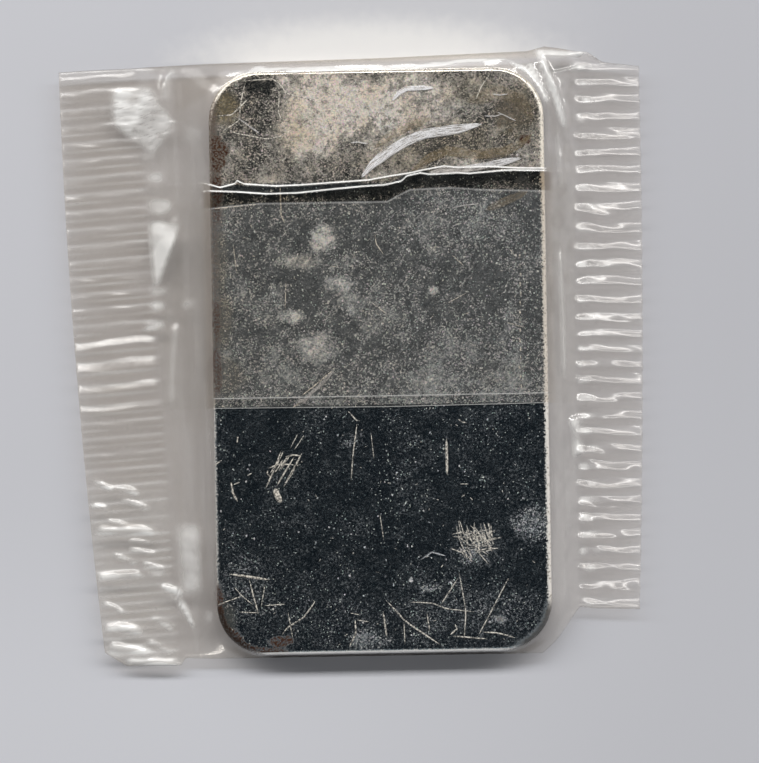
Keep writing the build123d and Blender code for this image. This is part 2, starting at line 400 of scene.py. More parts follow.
def film_marks(station, x, y):
    """How whitened the film is, together with its painted glints, and how much painted shade it has, each
    from 0 to 1.
    """
    left, right = x - line_x(1, y), line_x(4, y) - x
    left_part, right_part = crimp_parts(left, right)
    left_phase = math.tau * rib_count(x, y, *LEFT_RIBS)
    right_phase = math.tau * rib_count(x, y, *RIGHT_RIBS)
    # Painted shade in the valleys of both crimps' ribs, and along the film's far fold
    shaded = left_part * (0.5 - 0.5 * np.cos(left_phase)) * 0.5
    shaded += right_part * (0.5 - 0.5 * np.cos(right_phase)) * 0.45
    to_top = plan_place(station, 1.0)[1] - y
    shaded += rise(0.95, 0.45, to_top) * rise(1, 1.4, station) * rise(4, 3.6, station)

    # Painted light: the film is lighter on the right, a little on the left, and low down on the left crimp
    whitened_and_glints = 0.055 * rise(14, 15, x) + 0.012 * rise(-14, -15, x)
    whitened_and_glints += 0.1 * rise(-8, -12, y) * rise(0.3, -0.8, left)
    right_web = rise(-0.2, 0.6, right) * rise(14.2, 14.7, x)
    webs = rise(-0.2, 0.8, left) * rise(-14.2, -14.8, x) + right_web
    # Painted light in streaks on the webs, and painted shade in mottles on them and in a darker, browner
    # strip beside the bar on the left
    whitened_and_glints += 0.05 * webs * rise(-0.4, 1.6, ripple(x, 0.1 * y, 1.0, 44))
    shaded += 0.3 * webs * rise(-0.2, 1.6, ripple(x, 0.07 * y, 1.4, 45)) * rise(6, 0, x)
    shaded += 0.2 * rise(-13.0, -14.6, x) * rise(-0.5, 0.5, left)
    shaded += 0.6 * right_web * rise(-2, 8, y) * rise(-0.6, 1.0, ripple(x, 0.6 * y, 1.6, 50))

    # Each rib of the left crimp gets two fine lines of painted highlight, with painted shade between them
    pressed = rise(0.2, -0.6, left)
    highlight_line = (0.5 + 0.5 * np.cos(2 * left_phase + 1.2)) ** 3
    uneven = 0.85 + 0.4 * ripple(0.15 * x, y, 1.2, 47)
    whitened_and_glints += 0.13 * pressed * highlight_line * uneven
    shaded += 0.45 * pressed * (1 - highlight_line) * uneven

    # Painted highlights where the film turns down over the bar's far and near edges, painted shade on the
    # dull far left corner, and painted shadow below the near edge
    beyond = past_bar(x, y)
    middle = 0.06 + 0.5 * rise(3.5, 7.5, x) + 0.07 * ripple(x, 0, 2.4, 46)
    half = 0.15 + 0.05 * ripple(x, 0, 1.9, 48)
    far_gleam = rise(half + 0.07, half - 0.03, np.abs(beyond - middle)) * rise(22.5, 23.5, y)
    near_gleam = rise(0.16, 0.1, np.abs(beyond + 0.02)) * rise(-22.5, -23.5, y) * rise(11.0, 9.5, x)
    whitened_and_glints += (0.75 * far_gleam * rise(14.0, 13.0, x) + 0.9 * near_gleam) * rise(-11.5, -9.5, x)
    shaded += inside(x, y, spots(DULL_SHADED_CORNER), 0.5)
    shaded += rise(0.16, 0.26, beyond) * rise(1.0, 0.6, beyond) * rise(-23.6, -24.4, y)

    # Painted glints as drops between the right crimp's ribs, and whitened and glint patches that break up
    # into cracks or fine streaks
    glint_drops = rise(0.1, 0.8, np.cos(right_phase)) * rise(0.1, -0.4, right) * rise(-2.2, -0.5, right)
    whitened_and_glints += 0.3 * glint_drops * (0.7 + 0.7 * ripple(x, y, 1.4, 49))
    cracks = rise(0.16, 0.02, np.abs(ripple(x, y, 1.3, 41)))
    cracks += rise(0.1, 0.0, np.abs(ripple(x, y, 2.6, 42)))
    streaky = rise(-0.7, 0.8, ripple(0.15 * x, y, 0.5, 51))
    streaks = 1 - 0.65 * pressed * (1 - streaky)
    for outline, amount, soft in WHITE_AND_GLINT_PATCHES:
        patch = inside(x, y, spots(outline), soft) * (0.87 + 0.13 * ripple(0.4 * x, y, 1.0, 43))
        broken = 1.15 - 0.8 * np.clip(cracks, 0, 1) if outline is CRUMPLED_PATCH else streaks
        whitened_and_glints += amount * patch * broken
    # The folds whiten, partly as painted glints, and painted glints fill the crumpled crimp's creases
    for path, width, height in WEB_FOLDS + CRIMP_FOLDS:
        whitened_and_glints += crease(x, y, spots(path), width * 0.8, min(height * 0.8, 0.2))
    for path, width, _ in CRIMP_FOLDS:
        whitened_and_glints += crease(x, y, spots(path), width * 0.7, 0.36) * streaky
    return np.clip(whitened_and_glints, 0, 1), np.clip(shaded, 0, 1)


def new_piece(name, bm, material):
    """Object in the scene made from a bmesh whose sizes are in millimetres."""
    bmesh.ops.scale(bm, vec=(MM, MM, MM), verts=bm.verts)
    mesh = bpy.data.meshes.new(name)
    bm.to_mesh(mesh)
    bm.free()
    for polygon in mesh.polygons:
        polygon.use_smooth = True
    mesh.materials.append(material)
    piece = bpy.data.objects.new(name, mesh)
    bpy.context.collection.objects.link(piece)
    return piece


def film_skin(name, columns, rows, place, material, cut_angle=None):
    """A closed skin of film, rolled from a flat grid. place takes arrays from 0 to 1 along both sides of
    the grid, and gives x, y, z and the film's two marks. Edges bent by more than a cut_angle are sharp."""
    bm = bmesh.new()
    bmesh.ops.create_grid(bm, x_segments=columns, y_segments=rows, size=0.5)
    white_layer = bm.verts.layers.float.new("whitened_and_glints")
    shade_layer = bm.verts.layers.float.new("shaded")
    u = np.array([v.co.x + 0.5 for v in bm.verts])
    w = np.array([v.co.y + 0.5 for v in bm.verts])
    x, y, z, whitened_and_glints, shaded = place(u, w)
    for v, point, white, shade in zip(bm.verts, np.stack((x, y, z), 1), whitened_and_glints, shaded):
        v.co = point
        v[white_layer] = white
        v[shade_layer] = shade

    # The grid's first and last rows meet in one edge, and its two ends are open rims
    bmesh.ops.remove_doubles(bm, verts=bm.verts, dist=SKIN_MERGE)
    rims = [e for e in bm.edges if e.is_boundary]
    caps = bmesh.ops.holes_fill(bm, edges=rims, sides=0)["faces"]
    bmesh.ops.triangulate(bm, faces=caps)
    bmesh.ops.recalc_face_normals(bm, faces=bm.faces)
    if cut_angle:
        bm.normal_update()
        for edge in bm.edges:
            edge.smooth = edge.calc_face_angle(0.0) < cut_angle
    piece = new_piece(name, bm, material)
    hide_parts("film_wrap")
    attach(piece, BODY)
    return piece


def sealed_film(material):
    """The sleeve, webs and crimps, as one skin."""
    stations = grid_stations()
    rows = UPPER_ROWS + LOWER_ROWS

    def place(u, w):
        station = stations[np.rint(u * (len(stations) - 1)).astype(int)]
        row = np.rint(w * rows)
        on_top = row <= UPPER_ROWS
        t = np.where(on_top, row / UPPER_ROWS, (rows - row) / LOWER_ROWS)
        x, y = plan_place(station, t)
        upper, lower = film_heights(station, x, y)
        whitened_and_glints, shaded = film_marks(station, x, y)
        return x, y, np.where(on_top, upper, lower), whitened_and_glints * on_top, shaded * on_top

    return film_skin("sealed_film", len(stations) - 1, rows, place, material)


# The fin's lines across the photo, as pixels: its fold, the second fold, the seal and the two free edges
FOLD_LINE = [
    (150, 184), (207, 182), (223, 186.5), (238, 182.7), (240, 179.5), (247, 183), (279, 185), (302, 184),
    (343, 181), (371, 179), (392, 175), (412, 172), (425, 169), (446, 165), (459, 166.5), (491, 165.5),
    (520, 167), (540, 167), (590, 168),
]
SECOND_LINE = [
    (150, 190), (209, 190), (241, 191), (269, 193), (300, 192), (337, 188), (370, 185), (387, 184),
    (404, 180), (409, 175), (422, 172), (432, 173.5), (459, 172), (472, 172.5), (504, 169.5), (518, 169),
    (590, 170.5),
]
SEAL_LINE = [
    (150, 211), (212, 209), (259, 204), (389, 202), (402, 195), (412, 190), (452, 188), (485, 190),
    (590, 192),
]
UPPER_EDGE = [(150, 400), (214, 399), (389, 396), (545, 393), (590, 392)]
LOWER_EDGE = [(150, 410), (201, 409), (389, 407), (545, 403), (590, 402)]
# Rows of the fin's upper side: the line they follow, how far beyond it, and how many rows to the next
FIN_ROWS = [
    ("lower", 0.0, 1), ("lower", 0.02, 1), ("lower", 0.05, 1), ("lower", 0.08, 1), ("lower", 0.14, 4),
    ("upper", -0.12, 1), ("upper", -0.03, 1), ("upper", 0.0, 1), ("upper", 0.02, 1), ("upper", 0.05, 1),
    ("upper", 0.08, 1), ("upper", 0.14, 84), ("seal", -0.12, 1), ("seal", 0.0, 1), ("seal", 0.12, 8),
    ("second", -0.26, 1), ("second", -0.18, 1), ("second", -0.15, 1), ("second", -0.12, 1),
    ("second", -0.08, 1), ("second", -0.04, 1), ("second", 0.0, 1), ("second", 0.02, 4),
    ("fold", -0.17, 1), ("fold", -0.15, 1), ("fold", -0.12, 1), ("fold", -0.08, 1), ("fold", -0.04, 1),
    ("fold", 0.0, 0),
]
# Lines of painted highlight along the fin's folds and edges, and a faint one on its seal: its line, how
# far they lie below it, half width and strength
FIN_HIGHLIGHT_LINES = [
    ("fold", 0.08, 0.06, 1.0), ("second", 0.08, 0.055, 0.95), ("upper", -0.02, 0.035, 0.5),
    ("lower", -0.02, 0.035, 0.6), ("seal", 0.0, 0.03, 0.25),
]
FIN_COLUMNS = 260
FIN_UNDER_ROWS = 40
FIN_X = (-19.3, 17.0)
FIN_STEP = 0.065
FIN_CUT_ANGLE = 0.7


def line_y(line, x):
    """y in the frame of a line that runs across the photo."""
    points = spots(line)
    return np.interp(x, [p[0] for p in points], [p[1] for p in points])


def fin_lines(x):
    """y of each of the fin's lines at x."""
    fold = line_y(FOLD_LINE, x)
    second = np.minimum(line_y(SECOND_LINE, x), fold - 0.2)
    return {
        "fold": fold,
        "second": second,
        "seal": line_y(SEAL_LINE, x),
        "upper": line_y(UPPER_EDGE, x),
        "lower": line_y(LOWER_EDGE, x),
    }


def film_top(x, y):
    """Height of the upper film at a place over the bar or the webs."""
    station = np.interp(x, [-19.0, -14.4, 14.4, 16.8], [1, 2, 3, 4])
    return film_heights(station, x, y)[0]


def fin_profile(x, y, lines):
    """Height of the folded fin's upper surface over the film."""
    ramp = FIN_STEP / FLANK_SLOPE
    height = FIN_GAP + FIN_STEP * np.clip((lines["fold"] - y) / ramp, 0, 1)
    height += FIN_STEP * np.clip((lines["second"] - y) / ramp, 0, 1)
    open_part = rise(1, 4, y - lines["upper"]) * rise(0, 2, lines["fold"] - y)
    height += 0.01 * (1 + ripple(x, y, 4, 31)) * open_part
    return height - 0.035 * rise(0.0, -0.03, y - lines["upper"])


def fin_marks(x, y, lines):
    """How whitened the fin is: milky where it is sealed, with painted highlights along its folds and
    edges.
    """
    on_bar = rise(0.3, -0.2, past_bar(x, y))
    sealed = rise(0.05, -0.1, y - lines["seal"])
    double = rise(-0.02, 0.02, y - lines["upper"])
    milky_and_glints = sealed * (0.02 + 0.024 * double) * (0.35 + 0.65 * on_bar)
    for name, drop, width, amount in FIN_HIGHLIGHT_LINES:
        milky_and_glints += amount * on_bar * np.exp(-(((y - (lines[name] - drop)) / width) ** 2))
    return np.clip(milky_and_glints, 0, 1)


def folded_fin(material):
    """The long seal, folded flat on the upper film: one thin closed flap with stepped free edges."""
    top_rows = sum(row[2] for row in FIN_ROWS)
    rows = top_rows + FIN_UNDER_ROWS

    def place(u, w):
        row = np.rint(w * rows)
        on_top = row <= top_rows
        lines = fin_lines(FIN_X[0] + u * (FIN_X[1] - FIN_X[0]))
        y = lines["lower"] + (rows - row) / FIN_UNDER_ROWS * (lines["fold"] - lines["lower"])
        first = 0
        for (name, offset, count), (next_name, next_offset, _) in zip(FIN_ROWS, FIN_ROWS[1:]):
            share = (row - first) / count
            here = (1 - share) * (lines[name] + offset) + share * (lines[next_name] + next_offset)
            y = np.where((row >= first) & (row <= first + count), here, y)
            first += count
        x = line_x(1, y) + u * (line_x(4, y) - line_x(1, y))
        edge = (row == 0) | (row == top_rows)
        height = np.where(on_top & ~edge, fin_profile(x, y, lines), FIN_GAP)
        whitened_and_glints = fin_marks(x, y, lines) * (on_top & ~edge)
        # Painted shade on the open film between the second fold and the seal
        open_film_shade = rise(0.1, 0.25, lines["second"] - y) * rise(0.0, 0.12, y - lines["seal"])
        return x, y, film_top(x, y) + height, whitened_and_glints, open_film_shade

    return film_skin("folded_fin", FIN_COLUMNS, rows, place, material, FIN_CUT_ANGLE)


# Marks on the bar's face: path in the photo's pixels, width in millimetres
SCRATCHES = [
    ([(348, 411), (356, 420), (360, 421)], 0.12), ([(357, 423), (355, 440), (353, 454), (351, 482)], 0.12),
    ([(446.5, 438), (447, 469), (447, 476)], 0.26), ([(229, 574), (250, 577), (270, 580)], 0.24),
    ([(249, 579), (259, 617)], 0.14), ([(265, 584), (261, 608)], 0.1), ([(263, 606), (286, 604)], 0.1),
    ([(234, 587), (242, 596), (253, 605)], 0.1), ([(215, 606), (242, 596)], 0.12),
    ([(238, 612), (260, 613)], 0.1), ([(312, 599), (315, 602), (304, 617), (287, 628), (281, 636)], 0.14),
    ([(288, 612), (293, 640)], 0.1), ([(355, 619), (356, 633), (349, 648)], 0.16),
    ([(350, 613), (360, 615)], 0.08), ([(357, 620), (370, 622)], 0.08), ([(383, 611), (387, 639)], 0.18),
    ([(404, 622), (405, 645)], 0.1), ([(385, 599), (406, 622), (442, 646)], 0.16),
    ([(408, 602), (432, 603), (447, 609), (476, 612)], 0.12), ([(459, 572), (466, 611), (464, 642)], 0.12),
    ([(458, 578), (440, 606)], 0.12), ([(509, 577), (492, 610), (477, 638)], 0.12),
    ([(455, 624), (457, 629), (450, 635)], 0.16), ([(452, 636), (488, 639)], 0.14),
    ([(482, 632), (498, 633), (516, 638)], 0.14), ([(427, 613), (430, 633)], 0.12),
    ([(231, 482), (233, 494), (238, 502)], 0.2), ([(233, 485), (240, 482)], 0.1),
    ([(238, 436), (237, 443)], 0.12), ([(247, 476), (252, 473)], 0.1), ([(215, 465), (222, 460)], 0.1),
    ([(380, 515), (384, 542)], 0.08), ([(371, 433), (374, 460)], 0.08), ([(460, 484), (469, 484)], 0.08),
    ([(458, 419), (462, 422), (467, 423)], 0.1), ([(333, 370), (318, 383), (300, 397)], 0.14),
    ([(306, 399), (292, 408)], 0.16), ([(372, 303), (388, 315)], 0.08), ([(452, 255), (464, 266)], 0.1),
    ([(505, 322), (526, 328)], 0.08), ([(446, 304), (468, 292)], 0.08),
    ([(375, 234), (376, 244), (384, 255)], 0.1), ([(286, 280), (285, 312)], 0.08),
    ([(233, 244), (237, 275)], 0.08), ([(216, 116), (232, 115), (249, 98)], 0.14),
    ([(245, 83), (241, 101), (239, 121), (221, 132)], 0.12),
    ([(228, 129), (234, 133), (266, 139), (279, 137), (292, 130)], 0.12),
    ([(241, 81), (272, 79), (279, 83), (287, 94), (305, 98), (321, 103)], 0.12),
    ([(279, 88), (279, 104), (278, 112), (284, 126)], 0.1), ([(280, 186), (281, 215), (285, 224)], 0.14),
    ([(283, 197), (286, 201), (288, 194)], 0.1), ([(490, 74), (481, 87), (475, 101)], 0.1),
    ([(212, 209), (240, 206), (259, 204)], 0.12), ([(281, 162), (287, 157)], 0.1),
]


# Share of its width in the table that a scratch has
SCRATCH_SCALE = 0.85
# The first of the hatched strokes, the middle of the dense cluster and the first of the row of dashes
HATCH_PX = (269, 474)
CLUSTER_PX = (475, 543)
DASHES_PX = (520.5, 254)


def scratch_sets():
    """The hatched strokes, the dense cluster, the row of dashes and many fine scratches."""
    rng = random.Random(5)
    made = []
    for k in range(6):
        start = Vector(HATCH_PX) + Vector((4 * k + rng.uniform(-2, 2), 2 * k - 3.4 * (k % 4)))
        reach = Vector((14, -23)) * rng.uniform(0.55, 1.15)
        middle = start + reach / 2 + Vector((rng.uniform(-1.5, 1.5), rng.uniform(-1.5, 1.5)))
        made.append(([tuple(start), tuple(middle), tuple(start + reach)], rng.uniform(0.08, 0.17)))
    made += [
        ([(304, 435), (299, 443), (294, 450)], 0.08),
        ([(298, 434), (294, 441), (290, 449)], 0.08),
        ([(281, 451), (274, 470), (265, 490)], 0.14),
        ([(302, 453), (293, 470), (283, 488)], 0.18),
        ([(294, 457), (285, 472), (276, 487)], 0.16),
        ([(267, 469), (279, 464), (295, 465)], 0.14),
        ([(285, 457), (293, 455), (301, 456)], 0.16),
        ([(268, 470), (267, 474), (271, 477)], 0.14),
        ([(275, 488), (277, 495), (281, 503)], 0.6),
    ]
    for k in range(60):
        angle = math.radians(rng.choice([8, 12, -60, -75, 95, 150, 170, 20]) + rng.uniform(-14, 14))
        middle = Vector(CLUSTER_PX) + Vector((rng.uniform(-18, 18), rng.uniform(-14, 14)))
        half = Vector((math.cos(angle), -math.sin(angle))) * rng.uniform(5, 11)
        made.append(([tuple(middle - half), tuple(middle), tuple(middle + half)], rng.uniform(0.06, 0.13)))
    for k in range(15):
        x, y = DASHES_PX[0] + rng.uniform(-1, 1), DASHES_PX[1] + 9.3 * k
        made.append(([(x, y), (x + rng.uniform(-0.5, 0.5), y + rng.uniform(3, 6))], rng.uniform(0.1, 0.2)))
    for k in range(170):
        x, y = rng.uniform(216, 542), rng.uniform(80, 645)
        angle, half = rng.uniform(0, math.pi), rng.uniform(0.6, 2.2)
        right, down = half * math.cos(angle), half * math.sin(angle)
        made.append(([(x - right, y - down), (x + right, y + down)], rng.uniform(0.03, 0.08)))
    return made


# Wide scuffs in the film over the bar, and brown stains on the face: path, width, strength
FILM_SCUFFS = [
    ([(361, 178), (372, 165), (387, 153), (405, 142), (424, 134), (459, 129), (482, 124)], 0.85, 0.85),
    ([(392, 101), (398, 94), (406, 89), (420, 88), (434, 88)], 0.42, 1.0),
    ([(428, 173), (445, 170), (466, 169), (490, 165), (522, 158)], 0.6, 0.65),
    ([(303, 404), (312, 392), (322, 384), (334, 370)], 0.3, 0.35),
    ([(297, 402), (305, 400), (312, 393)], 0.3, 0.4),
    ([(238, 118), (244, 122), (252, 128), (260, 134)], 0.14, 0.3),
    ([(350, 143), (358, 142), (368, 144)], 0.14, 0.5),
    ([(452, 208), (465, 205), (478, 204)], 0.1, 0.5),
    ([(420, 560), (432, 552), (446, 556)], 0.12, 0.3),
    ([(492, 94), (500, 95), (508, 94)], 0.12, 0.5),
    ([(484, 116), (496, 116), (502, 114)], 0.1, 0.5),
    ([(497, 112), (506, 116), (516, 121)], 0.1, 0.5),
]
STAINS = [
    ([(411, 172), (428, 159), (446, 151), (476, 155), (504, 152), (522, 143), (532, 134)], 0.85, 0.5),
    ([(374, 148), (392, 135), (412, 125), (432, 118)], 0.7, 0.35),
    ([(486, 210), (506, 201), (528, 191)], 0.7, 0.4),
    ([(466, 102), (500, 92), (520, 100), (534, 120)], 1.1, 0.2),
]


def add_sliver(bm, path, width, strength, height, level, steps, sides):
    """A closed strip that tapers to a point at both ends, laid along a path. level gives the height of
    what it lies on."""
    points = [Vector(spot(*p)) for p in path]
    runs = [(b - a).length for a, b in zip(points, points[1:])]
    whole = sum(runs)
    rings = steps * (len(points) - 1) + 2
    made = bmesh.ops.create_grid(bm, x_segments=rings, y_segments=sides, size=0.5)["verts"]
    marks = [sum(runs[:k]) / whole for k in range(len(points))]
    share = np.array([v.co.x + 0.5 for v in made])
    turn = np.array([(v.co.y + 0.5) * math.tau for v in made])
    xs, ys = [p.x for p in points], [p.y for p in points]
    ahead, behind = np.minimum(share + 0.03, 1), np.maximum(share - 0.03, 0)
    dx = np.interp(ahead, marks, xs) - np.interp(behind, marks, xs)
    dy = np.interp(ahead, marks, ys) - np.interp(behind, marks, ys)
    length = np.hypot(dx, dy)
    taper = np.clip(5 * np.minimum(share, 1 - share), 0, 1) ** 0.6
    side = width / 2 * taper * np.cos(turn)
    x = np.interp(share, marks, xs) - dy / length * side
    y = np.interp(share, marks, ys) + dx / length * side
    z = level(x, y) + height * np.sin(turn) * taper
    along = bm.verts.layers.float["along"]
    across = bm.verts.layers.float["across"]
    amount = bm.verts.layers.float["amount"]
    for v, point, run, off in zip(made, np.stack((x, y, z), 1), share * whole, side):
        v.co = point
        v[along], v[across], v[amount] = run, off, strength


def slivers(name, strokes, height, level, material, steps=6, sides=8):
    """Strokes as one mesh of slivers, half sunk in what they lie on, with places along and across each
    kept for its pattern."""
    bm = bmesh.new()
    for layer in ("along", "across", "amount"):
        bm.verts.layers.float.new(layer)
    for path, width, strength in strokes:
        add_sliver(bm, path, width, strength, height, level, steps, sides)
    bmesh.ops.remove_doubles(bm, verts=bm.verts, dist=SLIVER_MERGE)
    bmesh.ops.recalc_face_normals(bm, faces=bm.faces)
    piece = new_piece(name, bm, material)
    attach(piece, BODY)


def face_level(x, y):
    """Height of the bar's face, which is the same everywhere."""
    return BAR_FACE


# Materials. The node helpers find the node tree from the sockets they are given


def nodes_of(name):
    """A new material, its node tree and its output node, which is the only one in it."""
    material = bpy.data.materials.new(name)
    material.use_nodes = True
    tree = material.node_tree
    tree.nodes.clear()
    return material, tree, tree.nodes.new("ShaderNodeOutputMaterial")


def feed(socket, value):
    """Links what a node gives into a socket, or sets a plain number or colour on it."""
    if isinstance(value, bpy.types.NodeSocket):
        value.id_data.links.new(value, socket)
    elif socket.type == "RGBA":
        socket.default_value = (*value, 1)
    else:
        socket.default_value = value


def make_node(tree, kind, inputs):
    """A new shader node with these inputs fed."""
    node = tree.nodes.new("ShaderNode" + kind)
    for name, value in inputs.items():
        feed(node.inputs[name], value)
    return node


def math_node(kind, *values):
    """A sum or other function of numbers, of which at least one comes from a node."""
    tree = next(v.id_data for v in values if isinstance(v, bpy.types.NodeSocket))
    node = tree.nodes.new("ShaderNodeMath")
    node.operation = kind
    for socket, value in zip(node.inputs, values):
        feed(socket, value)
    return node.outputs[0]


def chain(kind, values):
    """One result from several values, which are taken in one after another."""
    total = values[0]
    for value in values[1:]:
        total = math_node(kind, total, value)
    return total


def plus(*values):
    return chain("ADD", values)


def times(*values):
    return chain("MULTIPLY", values)


def most(*values):
    return chain("MAXIMUM", values)


def least(*values):
    return chain("MINIMUM", values)


def minus(first, second):
    return math_node("SUBTRACT", first, second)


def add_all(parts):
    """Sum of masks, each times its weight."""
    return plus(*[times(mask, weight) for mask, weight in parts])


def vector_node(kind, *vectors):
    node = vectors[0].id_data.nodes.new("ShaderNodeVectorMath")
    node.operation = kind
    for socket, vector in zip(node.inputs, vectors):
        feed(socket, vector)
    return node.outputs["Value" if kind == "LENGTH" else "Vector"]


def split(vector):
    return make_node(vector.id_data, "SeparateXYZ", {"Vector": vector}).outputs


def in_millimetres(tree):
    """Object coordinates turned into millimetres."""
    coordinates = tree.nodes.new("ShaderNodeTexCoord")
    scaled = make_node(tree, "Mapping", {"Vector": coordinates.outputs["Object"], "Scale": (1 / MM,) * 3})
    return scaled.outputs[0]


def noise(where, scale, detail=2.0, rough=0.5, warp=0.0):
    inputs = {"Vector": where, "Scale": scale, "Detail": detail, "Roughness": rough, "Distortion": warp}
    return make_node(where.id_data, "TexNoise", inputs).outputs["Fac"]


def step(value, low, high, to_low=0.0, to_high=1.0):
    """A smooth step of a value from low to high."""
    limits = {"From Min": low, "From Max": high, "To Min": to_low, "To Max": to_high}
    node = make_node(value.id_data, "MapRange", {"Value": value, **limits})
    node.interpolation_type = "SMOOTHSTEP"
    return node.outputs["Result"]


def mix(share, first, second):
    node = share.id_data.nodes.new("ShaderNodeMix")
    node.data_type = "RGBA"
    feed(node.inputs["Factor"], share)
    colours = [s for s in node.inputs if s.type == "RGBA"]
    for socket, value in zip(colours, (first, second)):
        feed(socket, value)
    return next(s for s in node.outputs if s.type == "RGBA")


def soft_spot_group():
    """Node group: 1 at Centre, falling to 0 at the Size away from it. Unevenness times Ragged moves
    its edge."""
    group = bpy.data.node_groups.new("soft_spot", "ShaderNodeTree")
    for name in ("Vector", "Centre", "Size"):
        group.interface.new_socket(name, in_out="INPUT", socket_type="NodeSocketVector")
    for name in ("Unevenness", "Ragged"):
        group.interface.new_socket(name, in_out="INPUT", socket_type="NodeSocketFloat")
    group.interface.new_socket("Mask", in_out="OUTPUT", socket_type="NodeSocketFloat")
    given = group.nodes.new("NodeGroupInput").outputs
    result = group.nodes.new("NodeGroupOutput").inputs
    offset = vector_node("SUBTRACT", given["Vector"], given["Centre"])
    length = vector_node("LENGTH", vector_node("DIVIDE", offset, given["Size"]))
    reach = plus(length, times(given["Unevenness"], given["Ragged"]))
    feed(result["Mask"], step(reach, 1.0, 0.35))
    return group


def soft_spot(where, uneven, centre_px, size, ragged):
    """Mask of a spot on the face, at a pixel of the photo, with half sizes in millimetres."""
    node = where.id_data.nodes.new("ShaderNodeGroup")
    node.node_tree = SOFT_SPOT
    feed(node.inputs["Vector"], where)
    feed(node.inputs["Unevenness"], uneven)
    feed(node.inputs["Centre"], (*spot(*centre_px), BAR_FACE))
    feed(node.inputs["Size"], (*size, ANY_HEIGHT))
    feed(node.inputs["Ragged"], ragged)
    return node.outputs["Mask"]


def spot_sum(where, uneven, table, ragged, gain=1.0):
    """The soft spots of a table, added up."""
    return add_all([(soft_spot(where, uneven, px, size, ragged), w * gain) for px, size, w in table])


def mark(tree, name):
    """One of a piece's own marks, kept with its vertices."""
    node = tree.nodes.new("ShaderNodeAttribute")
    node.attribute_name = name
    return node.outputs["Fac"]


def grain_cells(where, per_mm):
    """A random colour for each tiny grain of a surface, and its three values."""
    colour = make_node(where.id_data, "TexVoronoi", {"Vector": where, "Scale": per_mm}).outputs["Color"]
    return colour, split(colour)


# Pale haze on the face: middle in the photo's pixels, half sizes in millimetres, strength
HAZE_SPOTS = [
    ((316, 112), (5.2, 5.0), 0.55), ((308, 138), (2.6, 2.0), 0.2), ((400, 108), (6.4, 3.8), 0.4),
    ((372, 96), (4.0, 2.2), 0.2), ((322, 238), (1.5, 1.4), 0.75), ((300, 262), (2.4, 0.9), 0.32),
    ((338, 284), (1.7, 0.9), 0.42), ((292, 317), (1.5, 0.8), 0.5), ((318, 348), (2.2, 1.7), 0.4),
    ((352, 302), (1.4, 1.4), 0.24), ((434, 290), (0.6, 0.5), 0.9), ((430, 384), (0.9, 1.1), 0.2),
    ((530, 524), (2.2, 1.9), 0.2), ((478, 545), (3.0, 2.2), 0.05), ((472, 556), (1.3, 1.0), 0.15),
    ((368, 640), (2.2, 1.0), 0.2), ((500, 619), (0.7, 0.5), 0.5), ((505, 187), (2.4, 0.7), 0.14),
    ((470, 205), (3.5, 1.4), 0.1), ((410, 222), (4.0, 1.8), 0.08), ((430, 588), (1.2, 0.4), 0.2),
    ((411, 580), (0.2, 0.3), 0.9), ((240, 600), (3.0, 3.2), 0.035), ((470, 610), (6.0, 2.8), 0.03),
    ((352, 440), (1.4, 0.9), 0.06), ((245, 575), (3.0, 2.0), 0.03),
]
# Brown and rust tints: middle, half sizes, strength
RUST_SPOTS = [
    ((220, 154), (0.9, 1.7), 0.9), ((218, 188), (0.6, 1.6), 0.5), ((216, 318), (0.5, 1.6), 0.6),
    ((216, 372), (0.6, 1.9), 0.6), ((281, 641), (1.4, 0.6), 0.9), ((236, 636), (0.9, 0.9), 0.5),
    ((525, 139), (0.7, 0.6), 0.8), ((512, 110), (2.6, 2.6), 0.3), ((505, 160), (2.6, 1.4), 0.25),
    ((380, 98), (4.5, 3.0), 0.16), ((300, 110), (3.0, 3.5), 0.12), ((500, 619), (0.7, 0.5), 0.35),
    ((222, 215), (0.8, 2.0), 0.25), ((524, 190), (1.6, 1.8), 0.25),
]
# Yellowed places
YELLOW_SPOTS = [
    ((226, 106), (1.7, 2.0), 0.8), ((516, 112), (2.6, 3.2), 0.5), ((470, 90), (3.5, 1.6), 0.3),
    ((300, 130), (3.0, 3.0), 0.2), ((226, 618), (1.2, 2.2), 0.4), ((221, 262), (0.8, 4.0), 0.4),
    ((223, 322), (1.2, 3.4), 0.5), ((228, 376), (2.0, 2.2), 0.4), ((500, 372), (3.6, 1.6), 0.12),
    ((455, 138), (6.0, 2.2), 0.3), ((400, 160), (5.0, 1.5), 0.22), ((300, 262), (2.6, 1.0), 0.18),
]
# Places that stay clean and dark: middle, half sizes, strength
CLEAN_SPOTS = [
    ((260, 106), (3.0, 3.4), 0.62), ((258, 84), (2.4, 0.9), 0.5), ((436, 142), (4.6, 1.8), 0.45),
    ((480, 112), (2.8, 1.7), 0.35), ((384, 500), (1.5, 10.0), 0.85), ((250, 160), (2.6, 1.8), 0.3),
]
# Half size of a spot in z, which is so large that the spot doesn't depend on the height
ANY_HEIGHT = 1000
# Where the haze's zones begin along the bar, each from none to full
BEYOND_FOLD = (14.9, 15.3)
UNDER_FOLD = (14.2, 13.6)
UNDER_FIN = (-3.75, -3.65)
LOWER_FIN = (4.0, -3.0)
NEAR_END = (-18.0, -22.0)
# Colours on the silver
HAZE_COOL, HAZE_FAR, HAZE_WARM = (0.88, 0.95, 0.98), (0.93, 0.90, 0.83), (0.95, 0.84, 0.68)
DULL_HAZE, DULL_GRAIN = (0.20, 0.17, 0.12), (0.25, 0.22, 0.17)
SILVER_DARK, SILVER_LIGHT = (0.38, 0.47, 0.54), (0.68, 0.76, 0.82)
SILVER_TARNISHED, SILVER_SIDES = (0.80, 0.70, 0.55), (0.86, 0.86, 0.85)
YELLOWED = (0.36, 0.29, 0.14)
